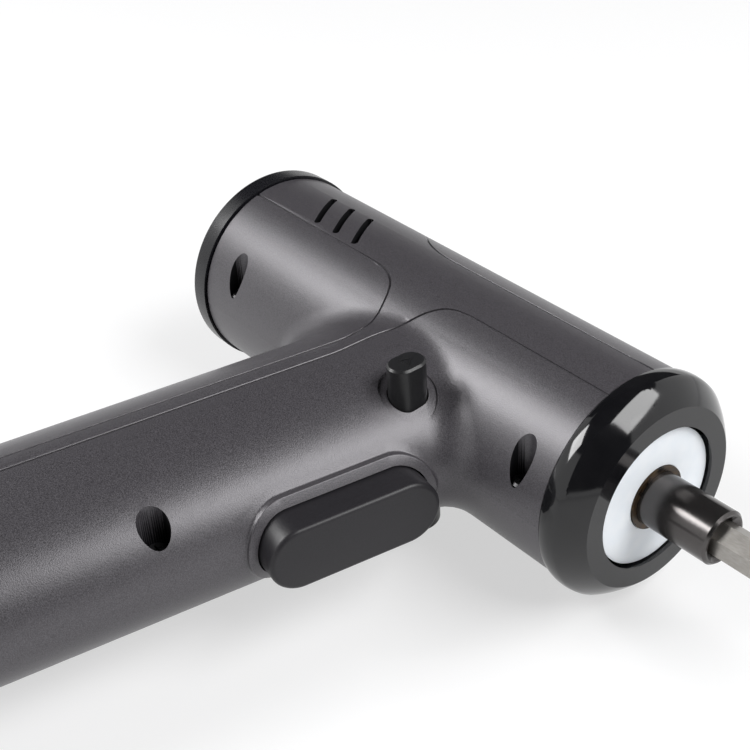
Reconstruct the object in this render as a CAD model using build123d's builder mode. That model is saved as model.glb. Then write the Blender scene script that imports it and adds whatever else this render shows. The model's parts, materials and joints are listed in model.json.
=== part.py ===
from build123d import *
import os
from math import acos, cos, pi, radians, sin, sqrt, tan

os.makedirs("parts", exist_ok=True)

# Pistol-grip cordless screwdriver, lying on its left side as on a table.
# X runs along the barrel towards the bit, Y runs up the tool and away from
# the grip, Z points out of the tool's right side. All sizes in millimetres.
# Stations along the barrel are counted from the middle of the light's face.
# Every piece is drawn around that point and moved onto the table as it is
# saved, so that a longer bit or grip shifts the tool without redrawing it.

# Barrel and case
barrel_r = 23.0             # outside radius of the round barrel
barrel_length = 112.0       # moulded barrel between front bezel and rear cap
wall = 2.2                  # case wall
seat_gap = 0.1              # clearance between pieces that seat in each other
running = 0.05              # radial running clearance
groove_wide = 0.5           # decorative lines of the case
groove_deep = 0.35
strip_low = 5.8             # line below the barrel axis
strip_high = 6.5            # line above it
front_branch = 2.1          # the two branches down the grip, behind its axis
rear_branch = 6.6

# Grip
lean = 9.0                  # degrees the grip leans back
grip_at = -52.0             # station where the grip axis crosses the barrel axis
grip_deep = 50.0            # fore and aft
grip_wide = 36.0            # side to side
base_drop = 136.0           # barrel axis down to the base
base_wall = 2.6
junction_r = 9.0            # blend between grip and barrel
base_round = 3.0

# Front bezel, light and spindle
bezel_back = 8.0            # bezel behind the diffuser's face
bezel_proud = 0.8           # bezel in front of the diffuser's face
bezel_r = 23.8
bezel_face_r = 19.3         # outer edge of the flat front ring
bezel_bevel = 4.4           # length of the bevel along the barrel
bezel_bore_r = 15.1
bezel_spigot = 3.2
diffuser_r = 14.6
diffuser_thick = 2.0
spindle_r = 5.6
spindle_reach = 16.5        # mouth of the spindle in front of the diffuser
hex_across_flats = 6.35     # quarter inch hexagon
bush_wall = 1.1
bush_length = 12.0
bush_proud = 0.4

# Screwdriver bit
bit_length = 50.0
bit_engaged = 14.0
bit_hex_length = 30.0
bit_neck_r = 2.45
bit_tip_r = 0.9
bit_flute_wide = 1.2

# Rear cap
cap_thick = 5.3
cap_r = 23.6
cap_edge = 0.8
cap_groove = 0.5
cap_spigot = 4.0

# Trigger
trigger_down = 44.9         # centre of the trigger, down the grip axis
trigger_proud = 6.1         # face in front of the grip
trigger_long = 36.2
trigger_wide = 13.8
trigger_edge = 2.5
trigger_wall = 1.6
trigger_travel = 3.0
collar_wide = 1.8           # raised lip around the trigger opening
collar_proud = 0.9
collar_foot = 0.6           # blend at its foot
collar_edge = 0.35          # blend at its edge

# Direction button
button_down = 23.6          # button centre, down the grip axis
button_behind = 11.1        # and behind the front of the grip
button_long = 8.2
button_wide = 6.0
button_proud = 4.0          # right-hand end outside the widest part of the grip
button_travel = 5.0
button_dish_r = 5.8
button_cap_r = 5.6          # round cap on the left-hand end
button_cap_in = 1.6         # its face inside the widest part of the grip
button_pocket_in = 6.0      # floor of its pocket, inside the same part

# Motor
motor_r = 18.0
motor_length = 50.0
motor_front = -44.0
motor_shaft_r = 1.6
motor_can_wall = 1.4

# Gears
module = 0.7
sun_teeth = 12
planet_teeth = 15
ring_teeth = 42
planet_count = 3
gear_face = 6.0
gear_gap = 0.4
tooth_slack = 0.06
pressure = radians(20)
plate_thick = 2.6
pin_r = 1.3
gearbox_wall = 1.6

# Cell and electronics
cell_r = 9.1
cell_length = 65.0
cell_down = 48.0            # near end of the cell, down the grip axis
cell_margin = 2.2           # between the cell and the wall behind it
board_forward = 3.0
board_thick = 1.6
board_down = 72.0

# Case screws
screw_r = 1.2
screw_head_r = 2.2
screw_head = 1.8
screw_seat = 4.0            # head seat above the parting plane
screw_length = 11.0
boss_r = 3.5
screw_well_r = 2.5
grip_well_r = 3.0

# Worked out from the sizes above
shell_front = -bezel_back
shell_rear = shell_front - barrel_length
cap_back = shell_rear - cap_thick
bit_tip = spindle_reach + bit_length - bit_engaged
rim_r = max(bezel_r, cap_r)
centre = Vector(36.4, 56.1, 23.8)
on_table = Location(Vector(-(cap_back + bit_tip) / 2, (base_drop - rim_r) / 2, rim_r) - centre)

grip_front = grip_deep / 2
grip_half = grip_wide / 2
grip_down = Vector(-sin(radians(lean)), -cos(radians(lean)), 0)
grip_forward = Vector(cos(radians(lean)), -sin(radians(lean)), 0)
grip_top = centre + Vector(grip_at, 0, 0)

side = Plane(origin=centre, x_dir=(1, 0, 0), z_dir=(0, 0, 1))
profile = Plane(origin=centre, x_dir=(1, 0, 0), z_dir=(0, -1, 0))
barrel_axis = Axis(centre, (1, 0, 0))


def across(station):
    return Plane(origin=centre + Vector(station, 0, 0), x_dir=(0, 1, 0), z_dir=(1, 0, 0))


def girth(down):
    return Plane(origin=grip_top + grip_down * down, x_dir=grip_forward, z_dir=grip_down)


def facing(down, forward):
    spot = grip_top + grip_down * down + grip_forward * forward
    return Plane(origin=spot, x_dir=grip_down * -1, z_dir=grip_forward)


def in_side_view(down, forward):
    spot = grip_top + grip_down * down + grip_forward * forward - centre
    return (spot.X, spot.Y)


def finish(builder, name):
    piece = builder.part.moved(on_table)
    piece.label = name
    export_step(piece, "parts/" + name + ".step")


def tube(station, length, outer_r, inner_r, name):
    with BuildPart() as ring:
        with BuildSketch(across(station)):
            Circle(outer_r)
            Circle(inner_r, mode=Mode.SUBTRACT)
        extrude(amount=length)
    finish(ring, name)


# Case form: a round barrel blended into an oval grip, used for the outside,
# for the cavity and, a little smaller, as the floor of grooves.
def case_form(grow, blend, ends, base):
    with BuildPart() as form:
        with BuildSketch(across(shell_rear - ends)):
            Circle(barrel_r + grow)
        extrude(amount=barrel_length + 2 * ends)
        with BuildSketch(girth(0)):
            Ellipse(grip_front + grow, grip_half + grow)
        extrude(amount=2 * base_drop)
        split(bisect_by=Plane(origin=centre - Vector(0, base, 0), z_dir=(0, 1, 0)), keep=Keep.TOP)
        band = (centre.Y - barrel_r - blend, centre.Y)
        joins = form.edges().filter_by(GeomType.CIRCLE, reverse=True)
        fillet(joins.filter_by_position(Axis.Y, *band), blend)
    return form.part


cavity = case_form(-wall, junction_r + wall, 1.0, base_drop - base_wall)
wall_middle = case_form(-wall / 2, junction_r + wall / 2, 0, base_drop - base_wall / 2)
groove_floor = case_form(-groove_deep, junction_r + groove_deep, 1.0, base_drop)

# Lip around the trigger opening, blended into the grip at its foot
opening_gap = 0.3
opening_long = trigger_long + 2 * opening_gap
opening_wide = trigger_wide + 2 * opening_gap
trigger_centre = facing(trigger_down, 0)

with BuildPart() as collar:
    with BuildSketch(trigger_centre.offset(grip_front / 2)):
        SlotOverall(opening_long + 2 * collar_wide, opening_wide + 2 * collar_wide)
    extrude(amount=grip_front)
    add(case_form(collar_proud, junction_r - collar_proud, 0, base_drop), mode=Mode.INTERSECT)
    fillet(collar.edges(Select.NEW), collar_edge)

with BuildPart() as outside:
    add(case_form(0, junction_r, 0, base_drop))
    fillet(outside.faces().sort_by(Axis.Y)[0].edges(), base_round)
    add(collar.part)
    fillet(outside.edges(Select.NEW), collar_foot)


def gear_half_angle(teeth, radius, slack):
    pitch_r = module * teeth / 2
    base_r = pitch_r * cos(pressure)
    roll = acos(min(1, base_r / max(radius, base_r)))
    return pi / (2 * teeth) + (tan(pressure) - pressure) - (tan(roll) - roll) + slack / pitch_r


def tooth(teeth, inner_r, outer_r, slack):
    pitch_r = module * teeth / 2
    flank = [inner_r, max(inner_r, pitch_r * cos(pressure)), pitch_r, outer_r]
    flank = sorted(set(flank))
    left = [(r * cos(a), r * sin(a)) for r in flank for a in [gear_half_angle(teeth, r, slack)]]
    right = [(x, -y) for x, y in reversed(left)]
    return left + right


def gear_sketch(teeth, bore):
    pitch_r = module * teeth / 2
    root_r = pitch_r - module
    with BuildSketch() as face:
        Circle(root_r)
        with PolarLocations(0, teeth):
            Polygon(*tooth(teeth, root_r - 0.2 * module, pitch_r + 0.8 * module, -tooth_slack), align=None)
        Circle(bore, mode=Mode.SUBTRACT)
    return face.sketch


# Decorative lines of the case in side view: a strip along the barrel's side
# that sends a narrow branch down the grip.
line_low = base_drop - base_round

with BuildPart() as side_lines:
    with BuildSketch(side):
        with BuildLine() as rear_line:
            rear_bend = (grip_at - grip_front, -strip_low)
            rear_elbow = in_side_view(2.0 * strip_low, -2.0 * rear_branch)
            rear_waist = in_side_view(4.0 * strip_low, -1.15 * rear_branch)
            rear_end = in_side_view(7.0 * strip_low, -rear_branch)
            Line((shell_rear, -strip_low), rear_bend)
            Spline(rear_bend, rear_elbow, rear_waist, rear_end, tangents=[(1, 0), (grip_down.X, grip_down.Y)])
            Line(rear_end, in_side_view(line_low, -rear_branch))
        trace(rear_line.line, line_width=groove_wide)
        with BuildLine() as front_line:
            front_end = in_side_view(5.5 * strip_low, -front_branch)
            front_waist = in_side_view(3.0 * strip_low, -1.6 * front_branch)
            front_elbow = in_side_view(1.6 * strip_low, -0.1 * front_branch)
            front_bend = (grip_at + 1.7 * strip_low, -strip_low)
            Line(in_side_view(line_low, -front_branch), front_end)
            Spline(front_end, front_waist, front_elbow, front_bend,
                   tangents=[(-grip_down.X, -grip_down.Y), (1, 0)])
            Line(front_bend, (shell_front, -strip_low))
        trace(front_line.line, line_width=groove_wide)
        with BuildLine() as top_line:
            top_bend = (grip_at - 2.0 * strip_high, strip_high)
            top_rise = (grip_at - 4.3 * strip_high, 1.85 * strip_high)
            top_end = (grip_at - 5.2 * strip_high, barrel_r)
            Line((shell_front, strip_high), top_bend)
            Spline(top_bend, top_rise, top_end, tangents=[(-1, 0), (0, 1)])
        trace(top_line.line, line_width=groove_wide)
    extrude(amount=2 * barrel_r, both=True)
    add(groove_floor, mode=Mode.SUBTRACT)

# Vent slots, slanted, over the motor's tail
vent_count = 3
vent_pitch = 6.8
vent_ahead = 18.1           # last slot in front of the rear cap
vent_long = 12.2
vent_wide = 1.1
vent_slant = 123.0

with BuildPart() as vents:
    with BuildSketch(side.offset(barrel_r / 2)):
        with Locations(*[(shell_rear + vent_ahead + vent_pitch * k, 0.5) for k in range(vent_count)]):
            SlotOverall(vent_long, vent_wide, rotation=vent_slant)
    extrude(amount=barrel_r)
    mirror(about=side)

# Case screws: two rows along the barrel, one in front of the cell and two at
# the base. Each has a well from the right and a blind post on the left.
front_screw_back = 7.4      # behind the bezel
rear_screw_ahead = 10.4     # in front of the rear cap
barrel_screw_in = 3.1       # inside the top and bottom of the barrel
front_screw_in = 5.3        # inside the front of the grip
base_screw_in = 10.0        # inside the front and the back of the grip
base_screw_up = 9.0
pilot_spare = 1.0           # hole below the end of a screw
front_screw_down = trigger_down + trigger_long - 1.3
barrel_screws = [(x, y * (barrel_r - barrel_screw_in)) for y in (-1, 1)
                 for x in (shell_rear + rear_screw_ahead, shell_front - front_screw_back)]
base_screws = [in_side_view(base_drop - base_screw_up, y * (grip_front - base_screw_in)) for y in (-1, 1)]
grip_screws = [in_side_view(front_screw_down, grip_front - front_screw_in)] + base_screws
all_screws = barrel_screws + grip_screws

with BuildPart() as posts:
    with BuildSketch(side):
        with Locations(*all_screws):
            Circle(boss_r)
    extrude(amount=barrel_r, both=True)

with BuildPart() as wells:
    with BuildSketch(side.offset(screw_seat)):
        with Locations(*barrel_screws):
            Circle(screw_well_r)
        with Locations(*grip_screws):
            Circle(grip_well_r)
    extrude(amount=barrel_r)
    with BuildSketch(side):
        with Locations(*all_screws):
            Circle(screw_r + seat_gap)
    extrude(amount=screw_seat)

with BuildPart() as pilots:
    with BuildSketch(side):
        with Locations(*all_screws):
            Circle(screw_r + running)
    extrude(amount=screw_seat - screw_length - pilot_spare)

# Stations of the gearbox, counted from the motor's front face
first_gear = motor_front + plate_thick + gear_gap
first_plate = first_gear + gear_face + gear_gap
second_gear = first_plate + plate_thick + gear_gap
second_plate = second_gear + gear_face + gear_gap
spindle_tail = second_plate + plate_thick
gearbox_front = spindle_tail + gear_gap + plate_thick
ring_pitch_r = module * ring_teeth / 2
orbit_r = module * (sun_teeth + planet_teeth) / 2
ring_outer_r = ring_pitch_r + 1.7
gearbox_r = ring_outer_r + gearbox_wall

# Ribs that hold the motor and the gearbox, and ribs behind the cell
rib_thick = 1.8
motor_ribs = (motor_front - 44, motor_front - 8)
gearbox_ribs = (second_gear - 4, gearbox_front - 3)
cell_back = grip_front - wall - cell_margin - cell_r
cell_ribs = (cell_down + 6, cell_down + cell_length / 2, cell_down + cell_length - 8)

with BuildPart() as ribs:
    for stations, held_r in ((motor_ribs, motor_r), (gearbox_ribs, gearbox_r)):
        for station in stations:
            with BuildSketch(across(station)):
                Circle(barrel_r - 0.6 * wall)
                Circle(held_r + seat_gap, mode=Mode.SUBTRACT)
            extrude(amount=rib_thick)
    for down in cell_ribs:
        with BuildSketch(girth(down)):
            Ellipse(grip_front, grip_half)
            with Locations((grip_front, 0)):
                Rectangle(grip_deep, grip_wide, mode=Mode.SUBTRACT)
            with Locations((-cell_back, 0)):
                Circle(cell_r + seat_gap, mode=Mode.SUBTRACT)
                Rectangle(2 * cell_r, cell_r, align=(Align.MIN, Align.CENTER), mode=Mode.SUBTRACT)
        extrude(amount=rib_thick)

# Trigger and direction switches, held from both sides by cradles
flange_back = grip_front - 7.2
switch_front = flange_back - 5.8
switch_deep = 11.7
switch_long = 24.0
switch_half = 7.5
switch_down = trigger_down + 4.0
button_x, button_y = in_side_view(button_down, grip_front - button_behind)
knob_thick = 1.6
slide_switch_half = 7.0
slide_switch_high = 6.4
slide_switch_deep = 5.0
slide_switch_front = button_x - button_wide / 2 - knob_thick - seat_gap
slide_switch_x = slide_switch_front - slide_switch_deep / 2

with BuildPart() as cradles:
    for down in (switch_down - 0.3 * switch_long, switch_down + 0.3 * switch_long):
        with BuildSketch(girth(down)):
            with Locations((switch_front - switch_deep / 2, 0)):
                Rectangle(0.8 * switch_deep, grip_wide)
            Rectangle(grip_deep, 2 * switch_half + 2 * seat_gap, mode=Mode.SUBTRACT)
        extrude(amount=rib_thick)
    with BuildSketch(side.offset(slide_switch_half + seat_gap)):
        with Locations((slide_switch_x, button_y)):
            Rectangle(0.8 * slide_switch_deep, rib_thick)
    extrude(amount=grip_half)
    with BuildSketch(side.offset(-slide_switch_half - seat_gap)):
        with Locations((slide_switch_x, button_y)):
            Rectangle(0.8 * slide_switch_deep, rib_thick)
    extrude(amount=-grip_half)

with BuildPart() as trigger_opening:
    with BuildSketch(trigger_centre.offset(grip_front / 2)):
        SlotOverall(opening_long, opening_wide)
    extrude(amount=grip_deep)

# Direction button: shallow dish on the right, round pocket with a floor for
# the cap on the left, and a guide hole through both sides
guide_gap = 0.25
pocket_floor = button_pocket_in - grip_half

with BuildPart() as button_dish:
    with BuildSketch(side):
        with Locations((button_x, button_y)):
            Circle(button_dish_r)
    extrude(amount=barrel_r)
    add(groove_floor, mode=Mode.SUBTRACT)

with BuildPart() as pocket_boss:
    with BuildSketch(side.offset(pocket_floor + wall)):
        with Locations((button_x, button_y)):
            Circle(button_cap_r + wall)
    extrude(amount=-grip_half)

with BuildPart() as button_pocket:
    with BuildSketch(side.offset(pocket_floor)):
        with Locations((button_x, button_y)):
            Circle(button_cap_r + guide_gap)
    extrude(amount=-grip_half)

with BuildPart() as button_hole:
    with BuildSketch(side):
        with Locations(Location((button_x, button_y, 0), (0, 0, 90))):
            SlotOverall(button_long + 2 * guide_gap, button_wide + 2 * guide_gap)
    extrude(amount=barrel_r, both=True)

# Charging socket opening in the base, in line with the board inside
port_wide = 9.0
port_high = 3.2
port_forward = board_forward + board_thick + port_high / 2
base_down = (base_drop - base_wall) / cos(radians(lean)) - port_forward * tan(radians(lean))

with BuildPart() as port_opening:
    with BuildSketch(girth(base_down - 2)):
        with Locations((port_forward, 0)):
            RectangleRounded(port_high + 2 * seat_gap, port_wide + 2 * seat_gap, port_high / 2.2)
    extrude(amount=base_wall + 6)

# What stands inside the case is cut off in the middle of the wall
with BuildPart() as fittings:
    add(ribs.part)
    add(posts.part)
    add(cradles.part)
    add(pocket_boss.part)
    add(wall_middle, mode=Mode.INTERSECT)

with BuildPart() as case:
    add(outside.part)
    add(cavity, mode=Mode.SUBTRACT)
    add(fittings.part)
    add(vents.part, mode=Mode.SUBTRACT)
    add(wells.part, mode=Mode.SUBTRACT)
    add(pilots.part, mode=Mode.SUBTRACT)
    add(port_opening.part, mode=Mode.SUBTRACT)
    add(trigger_opening.part, mode=Mode.SUBTRACT)
    add(button_hole.part, mode=Mode.SUBTRACT)
    add(button_pocket.part, mode=Mode.SUBTRACT)
    add(button_dish.part, mode=Mode.SUBTRACT)
    add(side_lines.part, mode=Mode.SUBTRACT)

with BuildPart() as right_shell:
    add(case.part)
    split(bisect_by=side, keep=Keep.TOP)
finish(right_shell, "right_shell")

with BuildPart() as left_shell:
    add(case.part)
    split(bisect_by=side, keep=Keep.BOTTOM)
finish(left_shell, "left_shell")

# Case screws: pan heads with a cross recess, one group of separate solids
with BuildPart() as case_screws:
    with BuildSketch(side.offset(screw_seat)):
        with Locations(*all_screws):
            Circle(screw_head_r)
    extrude(amount=screw_head)
    chamfer(case_screws.edges().group_by(Axis.Z)[-1], screw_head / 4)
    with BuildSketch(side.offset(screw_seat - screw_length)):
        with Locations(*all_screws):
            Circle(screw_r)
    extrude(amount=screw_length)
    with BuildSketch(side.offset(screw_seat + screw_head)):
        with Locations(*all_screws):
            Rectangle(1.8 * screw_r, screw_r / 3)
            Rectangle(screw_r / 3, 1.8 * screw_r)
    extrude(amount=-screw_head / 2, mode=Mode.SUBTRACT)
finish(case_screws, "case_screws")

# Front bezel: a turned ring with a broad bevel, a bore for the light and a
# spigot that seats inside the case.
case_bore_r = barrel_r - wall
spigot_r = case_bore_r - seat_gap
bezel_band = bezel_r - 0.3
band_back = bezel_back - 0.6
with BuildPart() as front_bezel:
    with BuildSketch(profile):
        with BuildLine():
            Polyline((bezel_proud, bezel_bore_r), (bezel_proud, bezel_face_r))
            ThreePointArc((bezel_proud, bezel_face_r),
                          ((bezel_proud - bezel_bevel) / 2 + 0.35, (bezel_face_r + bezel_band) / 2 + 0.35),
                          (bezel_proud - bezel_bevel, bezel_band))
            ThreePointArc((bezel_proud - bezel_bevel, bezel_band),
                          ((bezel_proud - bezel_bevel - band_back) / 2, bezel_r), (-band_back, bezel_band))
            Polyline((-band_back, bezel_band), (-bezel_back, barrel_r - seat_gap), (-bezel_back, spigot_r),
                     (-bezel_back - bezel_spigot, spigot_r), (-bezel_back - bezel_spigot, spigot_r - wall),
                     (-diffuser_thick - 2.4, spigot_r - wall), (-diffuser_thick - 2.4, bezel_bore_r),
                     (bezel_proud, bezel_bore_r))
        make_face()
    revolve(axis=barrel_axis)
finish(front_bezel, "front_bezel")

# Rear cap: a shallow plug with a rounded rim and a fine groove at the case
with BuildPart() as rear_cap:
    with BuildSketch(across(cap_back)):
        Circle(cap_r)
    extrude(amount=cap_thick - cap_groove)
    fillet(rear_cap.edges().group_by(Axis.X)[0], cap_edge)
    with BuildSketch(across(cap_back + cap_thick - cap_groove)):
        Circle(barrel_r - cap_groove)
    extrude(amount=cap_groove)
    with BuildSketch(across(shell_rear)):
        Circle(spigot_r)
        Circle(spigot_r - wall, mode=Mode.SUBTRACT)
    extrude(amount=cap_spigot)
    with BuildSketch(across(cap_back)):
        Circle(cap_r - 4 * cap_edge)
    extrude(amount=cap_groove, mode=Mode.SUBTRACT)
finish(rear_cap, "rear_cap")

# Light: a ring-shaped diffuser over a ring-shaped board with its lamps
bush_r = spindle_r + running + bush_wall
diffuser_bore_r = bush_r + seat_gap
with BuildPart() as light_diffuser:
    with BuildSketch(profile):
        Polygon((0, diffuser_bore_r), (-0.25, diffuser_r), (-diffuser_thick, diffuser_r),
                (-diffuser_thick, diffuser_bore_r), align=None)
    revolve(axis=barrel_axis)
finish(light_diffuser, "light_diffuser")

lamp_count = 6
lamp_size = 2.2
lamp_high = 0.9
lamp_orbit = (diffuser_bore_r + diffuser_r) / 2
ring_board_front = -diffuser_thick - lamp_high - 0.3
nose_r = bush_r + gearbox_wall
tube(ring_board_front - board_thick, board_thick, diffuser_r, nose_r + seat_gap, "light_board")
with BuildPart() as light_lamps:
    with BuildSketch(across(ring_board_front)):
        with PolarLocations(lamp_orbit, lamp_count):
            Rectangle(lamp_size, lamp_size)
    extrude(amount=lamp_high)
finish(light_lamps, "light_lamps")

# Gearbox housing: a cup with a long nose for the front bush
nose_front = -diffuser_thick - seat_gap
with BuildPart() as gearbox_housing:
    with BuildSketch(across(motor_front)):
        Circle(gearbox_r)
    extrude(amount=gearbox_front - motor_front)
    with BuildSketch(across(gearbox_front)):
        Circle(nose_r)
    extrude(amount=nose_front - gearbox_front)
    with BuildSketch(across(motor_front)):
        Circle(ring_outer_r + seat_gap)
    extrude(amount=gearbox_front - plate_thick - motor_front, mode=Mode.SUBTRACT)
    with BuildSketch(across(gearbox_front - plate_thick)):
        Circle(bush_r + running)
    extrude(amount=nose_front - gearbox_front + plate_thick, mode=Mode.SUBTRACT)
finish(gearbox_housing, "gearbox_housing")

tube(bush_proud - bush_length, bush_length, bush_r, spindle_r + running, "front_bush")

# Ring gear: one long internal gear shared by both stages
with BuildPart() as ring_gear:
    with BuildSketch(across(first_gear)):
        Circle(ring_outer_r)
        Circle(ring_pitch_r - 0.7 * module, mode=Mode.SUBTRACT)
        with PolarLocations(0, ring_teeth):
            Polygon(*tooth(ring_teeth, ring_pitch_r - 0.8 * module, ring_pitch_r + module, tooth_slack),
                    align=None, mode=Mode.SUBTRACT)
    extrude(amount=second_plate - gear_gap - first_gear)
finish(ring_gear, "ring_gear")


def planets(station, stage):
    for k in range(planet_count):
        turn = radians(360 / planet_count * k)
        hub = across(station)
        hub.origin = hub.origin + Vector(0, orbit_r * cos(turn), orbit_r * sin(turn))
        with BuildPart() as planet:
            with BuildSketch(hub):
                add(gear_sketch(planet_teeth, pin_r + running))
            extrude(amount=gear_face)
        finish(planet, stage + "_planet_" + str(k + 1))


def carrier(plate_station, gear_station, name, centre_gear):
    with BuildPart() as plate:
        with BuildSketch(across(plate_station)):
            Circle(orbit_r + 2.6 * pin_r)
        extrude(amount=plate_thick)
        with BuildSketch(across(gear_station - gear_gap / 2)):
            with PolarLocations(orbit_r, planet_count):
                Circle(pin_r)
        extrude(amount=plate_station - gear_station + gear_gap / 2)
        if centre_gear:
            with BuildSketch(across(plate_station + plate_thick)):
                add(gear_sketch(sun_teeth, motor_shaft_r))
            extrude(amount=gear_gap + gear_face)
    return plate


planets(first_gear, "first")
planets(second_gear, "second")
first_carrier = carrier(first_plate, first_gear, "first_carrier", True)
finish(first_carrier, "first_carrier")

tail_r = 0.6 * spindle_r
second_carrier = carrier(second_plate, second_gear, "second_carrier", False)
with BuildPart() as output_carrier:
    add(second_carrier.part)
    with BuildSketch(across(second_plate)):
        RegularPolygon(tail_r, 6)
    extrude(amount=plate_thick, mode=Mode.SUBTRACT)
finish(output_carrier, "output_carrier")

# Spindle: tube with the hexagon socket in front and a hexagon tail that
# drives it from the output carrier
spindle_shoulder = spindle_tail + gear_gap / 2
clip_station = bush_proud - bush_length - 1.4
clip_thick = 1.0
clip_deep = 0.6
socket_depth = bit_engaged + 1.4
with BuildPart() as spindle:
    with BuildSketch(across(spindle_shoulder)):
        Circle(spindle_r)
    extrude(amount=spindle_reach - spindle_shoulder)
    chamfer(spindle.edges().group_by(Axis.X)[-1], 0.5)
    with BuildSketch(across(second_plate + 0.2)):
        RegularPolygon(tail_r - running, 6)
    extrude(amount=spindle_shoulder - second_plate - 0.2)
    with BuildSketch(across(clip_station)):
        Circle(spindle_r)
        Circle(spindle_r - clip_deep, mode=Mode.SUBTRACT)
    extrude(amount=clip_thick + 2 * seat_gap, mode=Mode.SUBTRACT)
    with BuildSketch(across(spindle_reach - socket_depth)):
        RegularPolygon(hex_across_flats / 2 + running, 6, major_radius=False, rotation=30)
    extrude(amount=socket_depth, mode=Mode.SUBTRACT)
    with BuildSketch(profile):
        Polygon((spindle_reach, 0), (spindle_reach, spindle_r - 0.9),
                (spindle_reach - 1.6, hex_across_flats / 2), (spindle_reach - 1.6, 0), align=None)
    revolve(axis=barrel_axis, mode=Mode.SUBTRACT)
finish(spindle, "spindle")

with BuildPart() as retaining_clip:
    with BuildSketch(across(clip_station + seat_gap)):
        Circle(spindle_r + 1.0)
        Circle(spindle_r - clip_deep + running, mode=Mode.SUBTRACT)
        with Locations((spindle_r, 0)):
            Rectangle(2 * spindle_r, spindle_r, mode=Mode.SUBTRACT)
    extrude(amount=clip_thick)
finish(retaining_clip, "retaining_clip")

magnet_thick = socket_depth - bit_engaged - seat_gap
with BuildPart() as socket_magnet:
    with BuildSketch(across(spindle_reach - socket_depth)):
        Circle(hex_across_flats / 2 - seat_gap)
    extrude(amount=magnet_thick)
finish(socket_magnet, "socket_magnet")

# Bit: hexagon shank with its snap groove, round neck and cross tip
bit_back = spindle_reach - bit_engaged
tip_r = 1.6 * bit_neck_r
flute_long = 5.0
with BuildPart() as screwdriver_bit:
    with BuildSketch(across(bit_back)):
        RegularPolygon(hex_across_flats / 2, 6, major_radius=False, rotation=30)
    extrude(amount=bit_hex_length)
    with BuildSketch(profile):
        Polygon((bit_back, 0), (bit_back, 0.92 * hex_across_flats / 2),
                (bit_back + 1.2, 1.2 * hex_across_flats / 2),
                (bit_back + bit_hex_length - 1.6, 1.2 * hex_across_flats / 2),
                (bit_back + bit_hex_length, bit_neck_r + 0.3), (bit_back + bit_hex_length, 0), align=None)
    revolve(axis=barrel_axis, mode=Mode.INTERSECT)
    with BuildSketch(profile):
        Polygon((bit_back + bit_hex_length, 0), (bit_back + bit_hex_length, bit_neck_r),
                (bit_tip - 7.2, bit_neck_r), (bit_tip - 6.0, tip_r - 0.9), (bit_tip - 4.0, tip_r - 0.9),
                (bit_tip, bit_tip_r), (bit_tip, 0), align=None)
    revolve(axis=barrel_axis)
    with BuildSketch(across(bit_tip - flute_long)):
        with PolarLocations((bit_flute_wide + 2 * tip_r) / sqrt(2), 4, start_angle=45):
            Rectangle(2 * tip_r, 2 * tip_r, rotation=45)
    extrude(amount=flute_long, taper=-6, mode=Mode.SUBTRACT)
    with BuildSketch(profile):
        with Locations((bit_back + 9.5, hex_across_flats / 2 + 0.9)):
            Circle(1.5)
    revolve(axis=barrel_axis, mode=Mode.SUBTRACT)
finish(screwdriver_bit, "screwdriver_bit")

# Motor: steel can, two magnets, slotted core on its shaft, commutator, end
# bell with brushes, and the plate that joins it to the gearbox
motor_back = motor_front - motor_length
with BuildPart() as motor_can:
    with BuildSketch(across(motor_back)):
        Circle(motor_r)
    extrude(amount=motor_length)
    with BuildSketch(across(motor_back)):
        Circle(motor_r - motor_can_wall)
    extrude(amount=motor_length - motor_can_wall, mode=Mode.SUBTRACT)
    with BuildSketch(across(motor_back)):
        Circle(3 * motor_shaft_r)
    extrude(amount=motor_length, mode=Mode.SUBTRACT)
finish(motor_can, "motor_can")

core_r = 0.68 * motor_r
core_length = 0.55 * motor_length
core_back = motor_back + 0.28 * motor_length
magnet_r = motor_r - motor_can_wall - running
with BuildPart() as motor_magnets:
    with BuildSketch(across(core_back - 2)):
        Circle(magnet_r)
        Circle(core_r + 0.6, mode=Mode.SUBTRACT)
        Rectangle(2.2 * magnet_r, 0.9 * magnet_r, mode=Mode.SUBTRACT)
    extrude(amount=core_length + 4)
finish(motor_magnets, "motor_magnets")

core_slots = 5
with BuildPart() as motor_core:
    with BuildSketch(across(core_back)):
        Circle(core_r)
        with PolarLocations(0.72 * core_r, core_slots):
            Rectangle(0.6 * core_r, 0.16 * core_r, mode=Mode.SUBTRACT)
            Circle(0.2 * core_r, mode=Mode.SUBTRACT)
        Circle(motor_shaft_r, mode=Mode.SUBTRACT)
    extrude(amount=core_length)
finish(motor_core, "motor_core")

tube(motor_back + 3.2, 0.16 * motor_length, 3 * motor_shaft_r, motor_shaft_r, "commutator")

with BuildPart() as motor_shaft:
    with BuildSketch(across(motor_back - 3)):
        Circle(motor_shaft_r - running / 2)
    extrude(amount=first_gear + gear_face - motor_back + 3)
finish(motor_shaft, "motor_shaft")

with BuildPart() as motor_pinion:
    with BuildSketch(across(first_gear)):
        add(gear_sketch(sun_teeth, motor_shaft_r))
    extrude(amount=gear_face)
finish(motor_pinion, "motor_pinion")

tube(motor_front - motor_can_wall, motor_can_wall + plate_thick, 3 * motor_shaft_r - running,
     motor_shaft_r + running, "motor_bush")

with BuildPart() as motor_plate:
    with BuildSketch(across(motor_front)):
        Circle(ring_outer_r)
        Circle(3 * motor_shaft_r, mode=Mode.SUBTRACT)
    extrude(amount=plate_thick)
finish(motor_plate, "motor_plate")

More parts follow.
